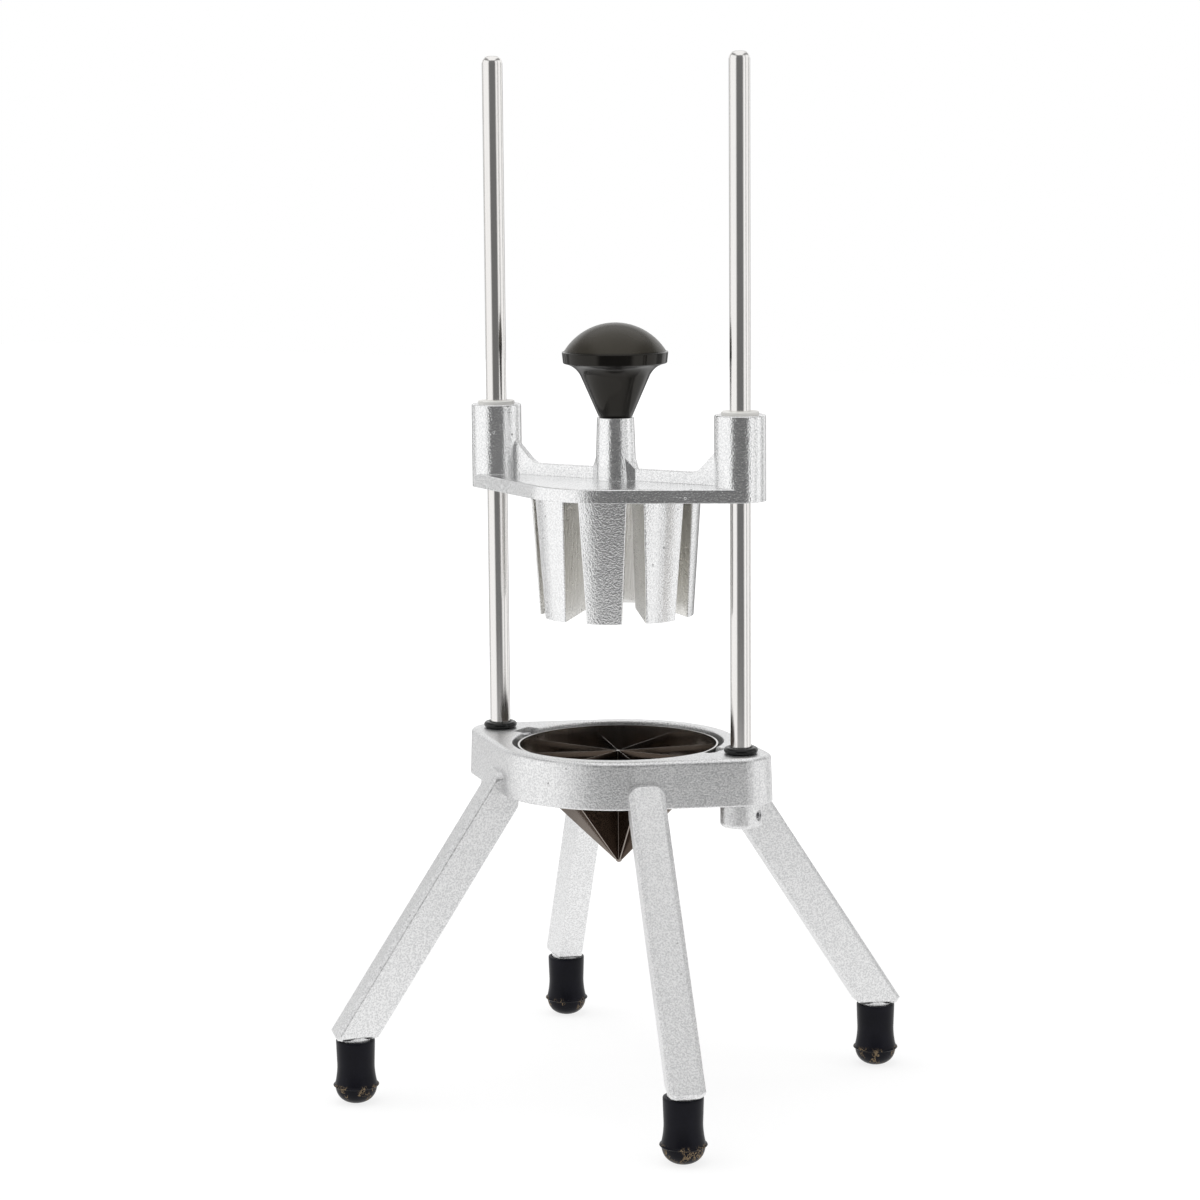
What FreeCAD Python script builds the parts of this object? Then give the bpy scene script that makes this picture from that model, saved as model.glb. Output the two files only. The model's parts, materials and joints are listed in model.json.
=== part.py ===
import FreeCAD, Part
import math
import os

# Apple wedger press: a splayed four leg casting carries a ring of eight
# blades and two upright rods, on which a pusher with eight fingers slides.
# Millimetres. The origin is on the floor, on the blade axis. +Z is up, the
# rods stand on the X axis, and the front is -Y.

V = FreeCAD.Vector
UP = V(0, 0, 1)
ORIGIN = V(0, 0, 0)

# Clearances
PRESS_GAP = 0.02
RUNNING_GAP = 0.05
SCREW_GAP = 0.15
BUMPER_GAP = 0.05

# How far a cut or a joined piece runs past the face it crosses
CUT_OVER = 1.0
JOIN_OVER = 1.0

# How near two measures are when they count as the same
SAME = 1e-4

# Guide rods
ROD_DIAMETER = 9.525
ROD_BEYOND_BORE = 16.85
ROD_TOP = 482.0
ROD_DOME_HEIGHT = 3.3
ROD_DOME_FLAT_DIAMETER = 3.0

# Base ring
BASE_TOP = 165.1
BASE_HEIGHT = 22.0
BASE_RING_WALL = 6.9
BASE_BOSS_RADIUS = 13.7
BASE_DRAFT = 0.8
BASE_TOP_ROUNDING = 2.2
BASE_BOTTOM_ROUNDING = 0.6
BASE_BORE_RADIUS = 49.5
BASE_BORE_ROUNDING = 0.8
NOTCH_HALF_WIDTH = 7.0
NOTCH_LENGTH = 5.7
NOTCH_DEPTH = 5.1
NOTCH_CORNER = 1.5

# Rod sockets under the base ring
SOCKET_RADIUS = 9.6
SOCKET_DROP = 12.0
SOCKET_ROUNDING = 2.0
SOCKET_FLOOR = 3.0

# Rod set screws, in the outer side of each socket
SET_SCREW_DIAMETER = 5.0
SET_SCREW_LENGTH = 4.0
SET_SCREW_ABOVE_SOCKET_BOTTOM = 6.0
SET_SCREW_HEX = 2.5
SET_SCREW_HEX_DEPTH = 1.8

# Bumper rings
BUMPER_SECTION = 3.0

# Legs
LEG_CAP_TOP = 154.4
LEG_CAP_CORNER = 5.5
LEG_ABOVE_FOOT = 1.0
LEG_SPLAY = 0.6415
LEG_INNER_WIDTH = 12.0
LEG_RIDGE_WIDTH = 16.9
LEG_OUTER_WIDTH = 12.4
LEG_DEPTH = 21.5
LEG_CHAMFER_DEPTH = 2.2
LEG_EDGE_ROUNDING = 0.7
LEG_BOTTOM_CHAMFER = 1.2
LEG_TOE_CHAMFER = 2.9
LEG_OFFSET_AT_FOOT = 1.2
SPIGOT_DIAMETER = 14.4
SPIGOT_DEPTH = 21.0

# Rubber feet
FOOT_PLACE_X = 88.9
FOOT_PLACE_Y = 90.0
FOOT_HEIGHT = 30.0
FOOT_COLLAR_DIAMETER = 18.1
FOOT_COLLAR_HEIGHT = 1.5
FOOT_WAIST_DIAMETER = 17.4
FOOT_LIP_DIAMETER = 21.3
FOOT_LIP_HEIGHT = 8.2
FOOT_LIP_THICKNESS = 0.9
FOOT_LIP_UNDERCUT = 0.6
FOOT_FLAT_DIAMETER = 6.0
FOOT_FLARE_START = 0.6
FOOT_FLARE_HOLLOW = 0.3
FOOT_DOME_REACH = 0.8
FOOT_DOME_RISE = 0.33

# Blade ring, seated by its two ears in the notches
BLADE_RING_CLEARANCE = 2.6
BLADE_RING_WALL = 0.9
BLADE_RING_TOP_BELOW_BASE = 1.5
BLADE_RING_HEIGHT = 12.2
EAR_HALF_WIDTH = 5.8
EAR_THICKNESS = 1.6
EAR_END_GAP = 0.7

# Ear screws
EAR_SCREW_DIAMETER = 3.0
EAR_SCREW_LENGTH = 8.0
EAR_SCREW_INSET = 2.5
EAR_SCREW_HEAD_DIAMETER = 5.4
EAR_SCREW_HEAD_HEIGHT = 2.0
EAR_SCREW_HEAD_ROUNDING = 0.8
EAR_SCREW_SLOT_WIDTH = 0.9
EAR_SCREW_SLOT_DEPTH = 0.9

# Blades
BLADE_COUNT = 8
BLADE_THICKNESS = 0.6
BLADE_TOP_BELOW_RING = 2.7
BLADE_TOP_FALL = 0.8
BLADE_APEX_HEIGHT = 108.2
BLADE_APEX_HALF_WIDTH = 2.0
CENTRE_WELD_RADIUS = 0.9
CENTRE_WELD_BEAD_RADIUS = 1.6

# Pusher plate and guide bosses
BOSS_RADIUS = 11.7
BOSS_HEIGHT = 39.0
BOSS_BOTTOM = 281.2
BOSS_TOP_ROUNDING = 0.6
PLATE_BEYOND_FINGERS = 4.43
PLATE_THICKNESS = 6.35
PLATE_ROUNDING = 0.8

# Pusher centre post and rib
POST_TOP_RADIUS = 8.55
POST_BASE_RADIUS = 9.5
POST_TOP_ABOVE_PLATE = 28.8
RIB_THICKNESS = 3.4
RIB_HEIGHT = 5.5
RIB_SINK = 0.3
RIB_GUSSET_BOSS = 10.5
RIB_GUSSET_BEND = 8.0
RIB_WEB_HEIGHT = 9.8
RIB_WEB_REACH = 2.0
RIB_WEB_HALF_WIDTH = 7.6

# Fingers of the pusher
FINGER_LENGTH = 56.7
FINGER_TOP_RADIUS = 37.8
FINGER_TIP_RADIUS = 34.6
FINGER_TOP_SLOT = 7.3
FINGER_TIP_SLOT = 10.9
FINGER_INNER_HALF_WIDTH = 0.64
FINGER_TIP_RISE = 5.0
FINGER_TIP_ROUNDING = 1.8
FINGER_TIP_TRIM = 0.1
FINGER_EDGE_ROUNDING = 0.7

# Guide bushes
BUSH_DIAMETER = 12.7
BUSH_LENGTH = 12.0
BUSH_FLANGE_DIAMETER = 17.2
BUSH_FLANGE_THICKNESS = 1.6
BUSH_FLANGE_ROUNDING = 0.5
BUSH_LOWER_INSET = 0.8

# Knob, its insert and its stud
KNOB_NECK_RADIUS = 7.7
KNOB_CONE_RADIUS = 16.1
KNOB_CONE_HEIGHT = 19.5
KNOB_RIM_RADIUS = 24.5
KNOB_RIM_TAPER = 0.5
KNOB_FLARE_HEIGHT = 25.0
KNOB_FLARE_BEND_OUT = 0.30
KNOB_FLARE_BEND_UP = 0.55
KNOB_RIM_HEIGHT = 5.3
KNOB_HEIGHT = 43.6
KNOB_RIM_ROUNDING = 0.4
STUD_DIAMETER = 7.94
STUD_IN_POST = 16.0
STUD_HOLE_SPARE = 1.0
STUD_IN_KNOB = 15.0
INSERT_DIAMETER = 11.0
INSERT_LENGTH = 17.0

# Places worked out from the sizes above
STEP = 360.0 / BLADE_COUNT
ROD_RADIUS = ROD_DIAMETER / 2
ROD_X = BASE_BORE_RADIUS + ROD_BEYOND_BORE
BASE_RING_RADIUS = BASE_BORE_RADIUS + BASE_RING_WALL
BASE_BOTTOM = BASE_TOP - BASE_HEIGHT
SOCKET_BOTTOM = BASE_BOTTOM - SOCKET_DROP
ROD_BOTTOM = SOCKET_BOTTOM + SOCKET_FLOOR
SET_SCREW_Z = SOCKET_BOTTOM + SET_SCREW_ABOVE_SOCKET_BOTTOM
NOTCH_FLOOR = BASE_TOP - NOTCH_DEPTH
NOTCH_REACH = BASE_BORE_RADIUS + NOTCH_LENGTH
EAR_SCREW_PLACE = BASE_BORE_RADIUS + EAR_SCREW_INSET
BLADE_RING_RADIUS = BASE_BORE_RADIUS - BLADE_RING_CLEARANCE
BLADE_RING_TOP = BASE_TOP - BLADE_RING_TOP_BELOW_BASE
BLADE_RING_BOTTOM = BLADE_RING_TOP - BLADE_RING_HEIGHT
BLADE_RING_INSIDE = BLADE_RING_RADIUS - BLADE_RING_WALL
BLADE_TOP = BLADE_RING_TOP - BLADE_TOP_BELOW_RING
BOSS_TOP = BOSS_BOTTOM + BOSS_HEIGHT
PLATE_TOP = BOSS_BOTTOM + PLATE_THICKNESS
POST_TOP = PLATE_TOP + POST_TOP_ABOVE_PLATE
FINGER_TIP = BOSS_BOTTOM - FINGER_LENGTH
SLOPE = math.tan(math.radians(STEP / 2))
LEAN = math.cos(math.radians(STEP / 2))
FINGER_TOP_WIDTH = 2 * FINGER_TOP_RADIUS * SLOPE - FINGER_TOP_SLOT / LEAN
FINGER_TIP_WIDTH = 2 * FINGER_TIP_RADIUS * SLOPE - FINGER_TIP_SLOT / LEAN
FINGER_INNER_RADIUS = (FINGER_TIP_SLOT / 2 / LEAN + FINGER_INNER_HALF_WIDTH) / SLOPE
FINGER_TIP_CONE = math.hypot(FINGER_TIP_RADIUS, FINGER_TIP_WIDTH / 2)
FINGER_TOP_CONE = math.hypot(FINGER_TOP_RADIUS, FINGER_TOP_WIDTH / 2)
PLATE_RADIUS = FINGER_TOP_CONE + PLATE_BEYOND_FINGERS
KNOB_BOTTOM = POST_TOP
LEG_BOTTOM = FOOT_HEIGHT + LEG_ABOVE_FOOT
FOOT_RADIAL_PLACE = math.hypot(FOOT_PLACE_X, FOOT_PLACE_Y)
LEG_AZIMUTH = math.degrees(math.atan2(FOOT_PLACE_Y, FOOT_PLACE_X))


def pin(radius, bottom, top, x=0.0, y=0.0):
    """An upright cylinder between two heights."""
    return Part.makeCylinder(radius, top - bottom, V(x, y, bottom), UP)


def hull_wire(centre_radius, end_radius, height):
    """The outline round a centre circle and the two circles on the rods, as arcs and tangents."""
    lean = math.acos((centre_radius - end_radius) / ROD_X)
    cos_lean, sin_lean = math.cos(lean), math.sin(lean)
    end_x = ROD_X + end_radius * cos_lean
    end_y = end_radius * sin_lean
    mid_x = centre_radius * cos_lean
    mid_y = centre_radius * sin_lean
    edges = []
    for side in (1, -1):
        start = V(side * end_x, -side * end_y, height)
        middle = V(side * (ROD_X + end_radius), 0, height)
        stop = V(side * end_x, side * end_y, height)
        edges.append(Part.Arc(start, middle, stop).toShape())
        shoulder = V(side * mid_x, side * mid_y, height)
        edges.append(Part.LineSegment(stop, shoulder).toShape())
        crown = V(0, side * centre_radius, height)
        far_shoulder = V(-side * mid_x, side * mid_y, height)
        edges.append(Part.Arc(shoulder, crown, far_shoulder).toShape())
        next_start = V(-side * end_x, side * end_y, height)
        edges.append(Part.LineSegment(far_shoulder, next_start).toShape())
    return Part.Wire(edges)


def edges_at_height(shape, height):
    """The edges that lie flat at one height."""
    found = []
    for edge in shape.Edges:
        box = edge.BoundBox
        if abs(box.ZMin - height) < SAME and abs(box.ZMax - height) < SAME:
            found.append(edge)
    return found


def circle_edges(shape, radius, height):
    """The round edges of one radius at one height."""
    found = []
    for edge in edges_at_height(shape, height):
        curve = edge.Curve
        if isinstance(curve, Part.Circle) and abs(curve.Radius - radius) < SAME:
            found.append(edge)
    return found


def hull_block(top_outline, bottom_outline, top, bottom):
    """A drafted block between two outlines."""
    wires = [hull_wire(*bottom_outline, bottom), hull_wire(*top_outline, top)]
    return Part.makeLoft(wires, True, True)


def leg(azimuth):
    """One splayed leg with its spigot, before it joins the ring."""
    foot_middle = FOOT_RADIAL_PLACE + LEG_OFFSET_AT_FOOT
    outer = foot_middle + LEG_DEPTH / 2
    ridge = outer - LEG_CHAMFER_DEPTH
    inner = foot_middle - LEG_DEPTH / 2
    half = [(inner, LEG_INNER_WIDTH / 2), (ridge, LEG_RIDGE_WIDTH / 2), (outer, LEG_OUTER_WIDTH / 2)]
    section = [V(x, -y, LEG_BOTTOM) for x, y in half]
    section += [V(x, y, LEG_BOTTOM) for x, y in reversed(half)]
    face = Part.Face(Part.makePolygon(section + [section[0]]))
    rise = BASE_TOP - LEG_BOTTOM
    bar = face.extrude(V(-LEG_SPLAY * rise, 0, rise))
    toe_edges = [edge for edge in edges_at_height(bar, LEG_BOTTOM) if edge.BoundBox.XMin > ridge - SAME]
    bar = bar.makeChamfer(LEG_TOE_CHAMFER, toe_edges)
    heel_edges = [edge for edge in edges_at_height(bar, LEG_BOTTOM) if edge.BoundBox.XMin < foot_middle]
    bar = bar.makeChamfer(LEG_BOTTOM_CHAMFER, heel_edges)
    long_edges = [edge for edge in bar.Edges if edge.BoundBox.ZLength > rise / 2]
    bar = bar.makeFillet(LEG_EDGE_ROUNDING, long_edges)
    width = LEG_RIDGE_WIDTH
    cap = Part.makeBox(2 * outer, width, LEG_CAP_TOP, V(0, -width / 2, 0))
    cap_corners = [
        edge for edge in cap.Edges
        if edge.BoundBox.XLength > outer and edge.BoundBox.ZMin > LEG_CAP_TOP / 2
    ]
    bar = bar.common(cap.makeFillet(LEG_CAP_CORNER, cap_corners))
    spigot_bottom = LEG_BOTTOM - SPIGOT_DEPTH
    spigot_top = LEG_BOTTOM + JOIN_OVER
    spigot = pin(SPIGOT_DIAMETER / 2, spigot_bottom, spigot_top, FOOT_RADIAL_PLACE)
    solid = bar.fuse(spigot)
    solid.rotate(ORIGIN, UP, azimuth)
    return solid


def leg_azimuths():
    """The four leg directions by name, in degrees from +X."""
    return {
        "front_left": 180 + LEG_AZIMUTH,
        "front_right": 360 - LEG_AZIMUTH,
        "rear_right": LEG_AZIMUTH,
        "rear_left": 180 - LEG_AZIMUTH,
    }


def notch(side):
    """The pocket beside the bore that takes one ear of the blade ring."""
    length = NOTCH_REACH - BASE_BORE_RADIUS / 2
    start = BASE_BORE_RADIUS / 2 if side > 0 else -NOTCH_REACH
    corner = V(start, -NOTCH_HALF_WIDTH, NOTCH_FLOOR)
    box = Part.makeBox(length, 2 * NOTCH_HALF_WIDTH, NOTCH_DEPTH + CUT_OVER, corner)
    upright = [edge for edge in box.Edges if edge.BoundBox.ZLength > NOTCH_DEPTH]
    far = [edge for edge in upright if abs(edge.BoundBox.XMin - side * NOTCH_REACH) < SAME]
    return box.makeFillet(NOTCH_CORNER, far)


def base_casting():
    """Ring, rod sockets and legs in one casting."""
    top_outline = (BASE_RING_RADIUS, BASE_BOSS_RADIUS)
    bottom_outline = (BASE_RING_RADIUS + BASE_DRAFT, BASE_BOSS_RADIUS + BASE_DRAFT)
    body = hull_block(top_outline, bottom_outline, BASE_TOP, BASE_BOTTOM)
    body = body.makeFillet(BASE_TOP_ROUNDING, edges_at_height(body, BASE_TOP))
    body = body.makeFillet(BASE_BOTTOM_ROUNDING, edges_at_height(body, BASE_BOTTOM))
    for azimuth in leg_azimuths().values():
        body = body.fuse(leg(azimuth))
    body = body.cut(pin(BASE_BORE_RADIUS, LEG_BOTTOM, BASE_TOP + CUT_OVER))
    body = body.makeFillet(BASE_BORE_ROUNDING, circle_edges(body, BASE_BORE_RADIUS, BASE_TOP))
    for side in (-1, 1):
        x = side * ROD_X
        socket = pin(SOCKET_RADIUS, SOCKET_BOTTOM, BASE_BOTTOM + JOIN_OVER, x)
        socket = socket.makeFillet(SOCKET_ROUNDING, circle_edges(socket, SOCKET_RADIUS, SOCKET_BOTTOM))
        body = body.fuse(socket)
        body = body.cut(pin(ROD_RADIUS + PRESS_GAP, ROD_BOTTOM, BASE_TOP + CUT_OVER, x))
        hole_start = V(x, 0, SET_SCREW_Z)
        hole = Part.makeCylinder(
            SET_SCREW_DIAMETER / 2 + PRESS_GAP, SOCKET_RADIUS + CUT_OVER, hole_start, V(side, 0, 0)
        )
        body = body.cut(hole)
        body = body.cut(notch(side))
        ear_hole_top = NOTCH_FLOOR + CUT_OVER
        ear_hole_bottom = NOTCH_FLOOR + EAR_THICKNESS - EAR_SCREW_LENGTH - SCREW_GAP
        hole_radius = EAR_SCREW_DIAMETER / 2 + PRESS_GAP
        body = body.cut(pin(hole_radius, ear_hole_bottom, ear_hole_top, side * EAR_SCREW_PLACE))
    return body.removeSplitter()


def rod(side):
    """A guide rod with a rounded top end."""
    x = side * ROD_X
    shaft = pin(ROD_RADIUS, ROD_BOTTOM, ROD_TOP - ROD_DOME_HEIGHT, x)
    start = V(ROD_RADIUS, 0, ROD_TOP - ROD_DOME_HEIGHT)
    flat = ROD_DOME_FLAT_DIAMETER / 2
    lean = math.radians(45)
    width = ROD_RADIUS - flat
    middle = V(flat + width * math.cos(lean), 0, start.z + ROD_DOME_HEIGHT * math.sin(lean))
    stop = V(flat, 0, ROD_TOP)
    edges = [
        Part.LineSegment(V(0, 0, start.z), start).toShape(),
        Part.Arc(start, middle, stop).toShape(),
        Part.LineSegment(stop, V(0, 0, ROD_TOP)).toShape(),
        Part.LineSegment(V(0, 0, ROD_TOP), V(0, 0, start.z)).toShape(),
    ]
    dome = Part.Face(Part.Wire(edges)).revolve(ORIGIN, UP, 360)
    dome.translate(V(x, 0, 0))
    return shaft.fuse(dome).removeSplitter()


def set_screw(side):
    """A headless screw that bears on the rod from the outside of its socket."""
    start = V(side * (ROD_X + ROD_RADIUS + PRESS_GAP), 0, SET_SCREW_Z)
    body = Part.makeCylinder(SET_SCREW_DIAMETER / 2, SET_SCREW_LENGTH, start, V(side, 0, 0))
    hex_points = []
    corner = SET_SCREW_HEX / 2 / math.cos(math.radians(30))
    for index in range(7):
        turn = math.radians(60 * index)
        hex_points.append(V(0, corner * math.cos(turn), corner * math.sin(turn)))
    cut_depth = SET_SCREW_HEX_DEPTH + CUT_OVER
    socket = Part.Face(Part.makePolygon(hex_points)).extrude(V(side * cut_depth, 0, 0))
    socket.translate(start + V(side * (SET_SCREW_LENGTH - SET_SCREW_HEX_DEPTH), 0, 0))
    return body.cut(socket)


def bumper(side):
    """A rubber ring round the rod, lying on the base."""
    small = BUMPER_SECTION / 2
    centre = V(side * ROD_X, 0, BASE_TOP + small)
    return Part.makeTorus(ROD_RADIUS + BUMPER_GAP + small, small, centre, UP)


def foot(azimuth):
    """A rubber ferrule: collar, waist, thin lip and domed end with a small flat."""
    collar = FOOT_COLLAR_DIAMETER / 2
    waist = FOOT_WAIST_DIAMETER / 2
    lip = FOOT_LIP_DIAMETER / 2
    lip_top = FOOT_LIP_HEIGHT + FOOT_LIP_THICKNESS
    flat = FOOT_FLAT_DIAMETER / 2
    shoulder = lip - FOOT_LIP_THICKNESS
    bore = SPIGOT_DIAMETER / 2 + PRESS_GAP
    bore_bottom = LEG_BOTTOM - SPIGOT_DEPTH - PRESS_GAP
    flare_z = FOOT_HEIGHT * FOOT_FLARE_START
    flare_start = V(waist, 0, flare_z)
    flare_middle = V(waist + (shoulder - waist) * FOOT_FLARE_HOLLOW, 0, (flare_z + lip_top) / 2)
    flare_stop = V(shoulder, 0, lip_top)
    dome_middle = V(shoulder * FOOT_DOME_REACH, 0, FOOT_LIP_HEIGHT * FOOT_DOME_RISE)
    dome_stop = V(shoulder, 0, FOOT_LIP_HEIGHT - FOOT_LIP_UNDERCUT)
    collar_z = FOOT_HEIGHT - FOOT_COLLAR_HEIGHT
    edges = [
        Part.LineSegment(V(0, 0, 0), V(flat, 0, 0)).toShape(),
        Part.Arc(V(flat, 0, 0), dome_middle, dome_stop).toShape(),
        Part.LineSegment(dome_stop, V(lip, 0, FOOT_LIP_HEIGHT)).toShape(),
        Part.LineSegment(V(lip, 0, FOOT_LIP_HEIGHT), V(shoulder, 0, lip_top)).toShape(),
        Part.Arc(flare_stop, flare_middle, flare_start).toShape(),
        Part.LineSegment(flare_start, V(collar, 0, collar_z)).toShape(),
        Part.LineSegment(V(collar, 0, collar_z), V(collar, 0, FOOT_HEIGHT)).toShape(),
        Part.LineSegment(V(collar, 0, FOOT_HEIGHT), V(bore, 0, FOOT_HEIGHT)).toShape(),
        Part.LineSegment(V(bore, 0, FOOT_HEIGHT), V(bore, 0, bore_bottom)).toShape(),
        Part.LineSegment(V(bore, 0, bore_bottom), V(0, 0, bore_bottom)).toShape(),
        Part.LineSegment(V(0, 0, bore_bottom), V(0, 0, 0)).toShape(),
    ]
    solid = Part.Face(Part.Wire(edges)).revolve(ORIGIN, UP, 360)
    turn = math.radians(azimuth)
    solid.translate(V(FOOT_RADIAL_PLACE * math.cos(turn), FOOT_RADIAL_PLACE * math.sin(turn), 0))
    return solid


def blade_ring():
    """The band that holds the blades, with an ear on each side."""
    band = pin(BLADE_RING_RADIUS, BLADE_RING_BOTTOM, BLADE_RING_TOP)
    for side in (-1, 1):
        reach = NOTCH_REACH - EAR_END_GAP - BLADE_RING_INSIDE
        start = BLADE_RING_INSIDE if side > 0 else -BLADE_RING_INSIDE - reach
        corner = V(start, -EAR_HALF_WIDTH, NOTCH_FLOOR)
        ear = Part.makeBox(reach, 2 * EAR_HALF_WIDTH, EAR_THICKNESS, corner)
        band = band.fuse(ear)
    band = band.cut(pin(BLADE_RING_INSIDE, BLADE_RING_BOTTOM - CUT_OVER, BLADE_RING_TOP + CUT_OVER))
    hole_radius = EAR_SCREW_DIAMETER / 2 + SCREW_GAP
    for side in (-1, 1):
        hole = pin(hole_radius, NOTCH_FLOOR - CUT_OVER, BLADE_RING_TOP, side * EAR_SCREW_PLACE)
        band = band.cut(hole)
    return band.removeSplitter()


def ear_screw(side):
    """A slotted screw through one ear of the blade ring."""
    x = side * EAR_SCREW_PLACE
    ear_top = NOTCH_FLOOR + EAR_THICKNESS
    head_top = ear_top + EAR_SCREW_HEAD_HEIGHT
    shank = pin(EAR_SCREW_DIAMETER / 2, ear_top - EAR_SCREW_LENGTH, ear_top, x)
    head = pin(EAR_SCREW_HEAD_DIAMETER / 2, ear_top, head_top, x)
    head = head.makeFillet(EAR_SCREW_HEAD_ROUNDING, edges_at_height(head, head_top)[:1])
    slot_half = EAR_SCREW_HEAD_DIAMETER / 2 + CUT_OVER
    slot = Part.makeBox(
        2 * slot_half, EAR_SCREW_SLOT_WIDTH, EAR_SCREW_SLOT_DEPTH + CUT_OVER,
        V(x - slot_half, -EAR_SCREW_SLOT_WIDTH / 2, head_top - EAR_SCREW_SLOT_DEPTH),
    )
    return shank.fuse(head).cut(slot)


def blade(azimuth):
    """One radial blade: a nearly level cutting edge on top and a steep V edge below."""
    half = BLADE_THICKNESS / 2
    inner = CENTRE_WELD_RADIUS + PRESS_GAP
    outer = BLADE_RING_INSIDE - PRESS_GAP
    profile = [
        (inner, BLADE_TOP - BLADE_TOP_FALL),
        (inner, BLADE_APEX_HEIGHT),
        (BLADE_APEX_HALF_WIDTH, BLADE_APEX_HEIGHT),
        (outer, BLADE_RING_BOTTOM),
        (outer, BLADE_TOP),
    ]
    points = [V(x, -half, z) for x, z in profile]
    face = Part.Face(Part.makePolygon(points + [points[0]]))
    solid = face.extrude(V(0, BLADE_THICKNESS, 0))
    solid.rotate(ORIGIN, UP, azimuth)
    return solid


def centre_weld():
    """The weld column on the axis, with a small bead at the apex."""
    column = pin(CENTRE_WELD_RADIUS, BLADE_APEX_HEIGHT - PRESS_GAP, BLADE_TOP - BLADE_TOP_FALL)
    bead = Part.makeSphere(CENTRE_WELD_BEAD_RADIUS, V(0, 0, BLADE_APEX_HEIGHT))
    reach = 2 * CENTRE_WELD_BEAD_RADIUS
    below = pin(reach, BLADE_APEX_HEIGHT - reach, BLADE_APEX_HEIGHT - PRESS_GAP)
    return column.fuse(bead.common(below))


def finger(azimuth):
    """One finger: a tapering wedge whose sides stay parallel to the blades."""
    wires = []
    for height, radius, width in (
        (BOSS_BOTTOM + PLATE_THICKNESS / 2, FINGER_TOP_RADIUS, FINGER_TOP_WIDTH),
        (FINGER_TIP, FINGER_TIP_RADIUS, FINGER_TIP_WIDTH),
    ):
        reach = FINGER_TOP_WIDTH / 2
        inner_half = width / 2 - (radius - FINGER_INNER_RADIUS) * SLOPE
        outer_half = width / 2 + reach * SLOPE
        corners = [
            V(FINGER_INNER_RADIUS, -inner_half, height),
            V(radius + reach, -outer_half, height),
            V(radius + reach, outer_half, height),
            V(FINGER_INNER_RADIUS, inner_half, height),
        ]
        wires.append(Part.makePolygon(corners + [corners[0]]))
    wedge = Part.makeLoft(wires, True, True)
    height = FINGER_LENGTH + PLATE_THICKNESS / 2
    solid = wedge.common(Part.makeCone(FINGER_TIP_CONE, FINGER_TOP_CONE, height, V(0, 0, FINGER_TIP), UP))
    long_edges = [
        edge for edge in solid.Edges
        if edge.BoundBox.ZLength > FINGER_LENGTH / 2 and edge.BoundBox.XMax > FINGER_TIP_RADIUS
    ]
    solid = solid.makeFillet(FINGER_EDGE_ROUNDING, long_edges)
    under = [
        V(FINGER_TIP_CONE + CUT_OVER, 0, FINGER_TIP - CUT_OVER),
        V(FINGER_TIP_CONE + CUT_OVER, 0, FINGER_TIP),
        V(FINGER_INNER_RADIUS - CUT_OVER, 0, FINGER_TIP + FINGER_TIP_RISE),
        V(FINGER_INNER_RADIUS - CUT_OVER, 0, FINGER_TIP - CUT_OVER),
    ]
    under_cut = Part.Face(Part.makePolygon(under + [under[0]])).extrude(V(0, 2 * FINGER_TOP_WIDTH, 0))
    under_cut.translate(V(0, -FINGER_TOP_WIDTH, 0))
    solid = solid.cut(under_cut)
    frame_width = FINGER_TIP_WIDTH + 2 * FINGER_EDGE_ROUNDING
    frame_corner = V(0, -frame_width / 2, FINGER_TIP + FINGER_TIP_TRIM)
    frame = Part.makeBox(2 * FINGER_TOP_CONE, frame_width, 2 * FINGER_LENGTH, frame_corner)
    tip_edges = [
        edge for edge in frame.Edges
        if edge.BoundBox.XLength > FINGER_TOP_CONE and edge.BoundBox.ZMax < FINGER_TIP + JOIN_OVER
    ]
    frame = frame.makeFillet(FINGER_TIP_ROUNDING, tip_edges)
    upper = Part.makeBox(
        2 * FINGER_TOP_CONE, 2 * FINGER_TOP_WIDTH, 2 * FINGER_LENGTH,
        V(0, -FINGER_TOP_WIDTH, FINGER_TIP + FINGER_TIP_ROUNDING),
    )
    solid = solid.common(frame.fuse(upper))
    solid.rotate(ORIGIN, UP, azimuth)
    return solid


def upright_plate(outline, thickness):
    """A plate along the rod plane, from its outline as (x, height) points."""
    points = [V(x, -thickness / 2, z) for x, z in outline]
    return Part.Face(Part.makePolygon(points + [points[0]])).extrude(V(0, thickness, 0))


def rib(side):
    """The rib on the plate from the post to one boss, with a gusset at the boss."""
    start = POST_TOP_RADIUS / 2
    stop = ROD_X - BOSS_RADIUS / 2
    rib_top = PLATE_TOP + RIB_HEIGHT
    boss_face = ROD_X - BOSS_RADIUS + RIB_SINK
    outline = [
        (side * start, BOSS_BOTTOM + JOIN_OVER),
        (side * start, rib_top),
        (side * (boss_face - RIB_GUSSET_BOSS), rib_top),
        (side * boss_face, rib_top + RIB_GUSSET_BOSS),
        (side * stop, rib_top + RIB_GUSSET_BOSS),
        (side * stop, BOSS_BOTTOM + JOIN_OVER),
    ]
    plate = upright_plate(outline, RIB_THICKNESS)
    bend_x = side * (boss_face - RIB_GUSSET_BOSS)
    bend = [
        edge for edge in edges_at_height(plate, rib_top)
        if abs(edge.BoundBox.XMin - bend_x) < SAME and abs(edge.BoundBox.XMax - bend_x) < SAME
    ]
    return plate.makeFillet(RIB_GUSSET_BEND, bend)


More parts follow.
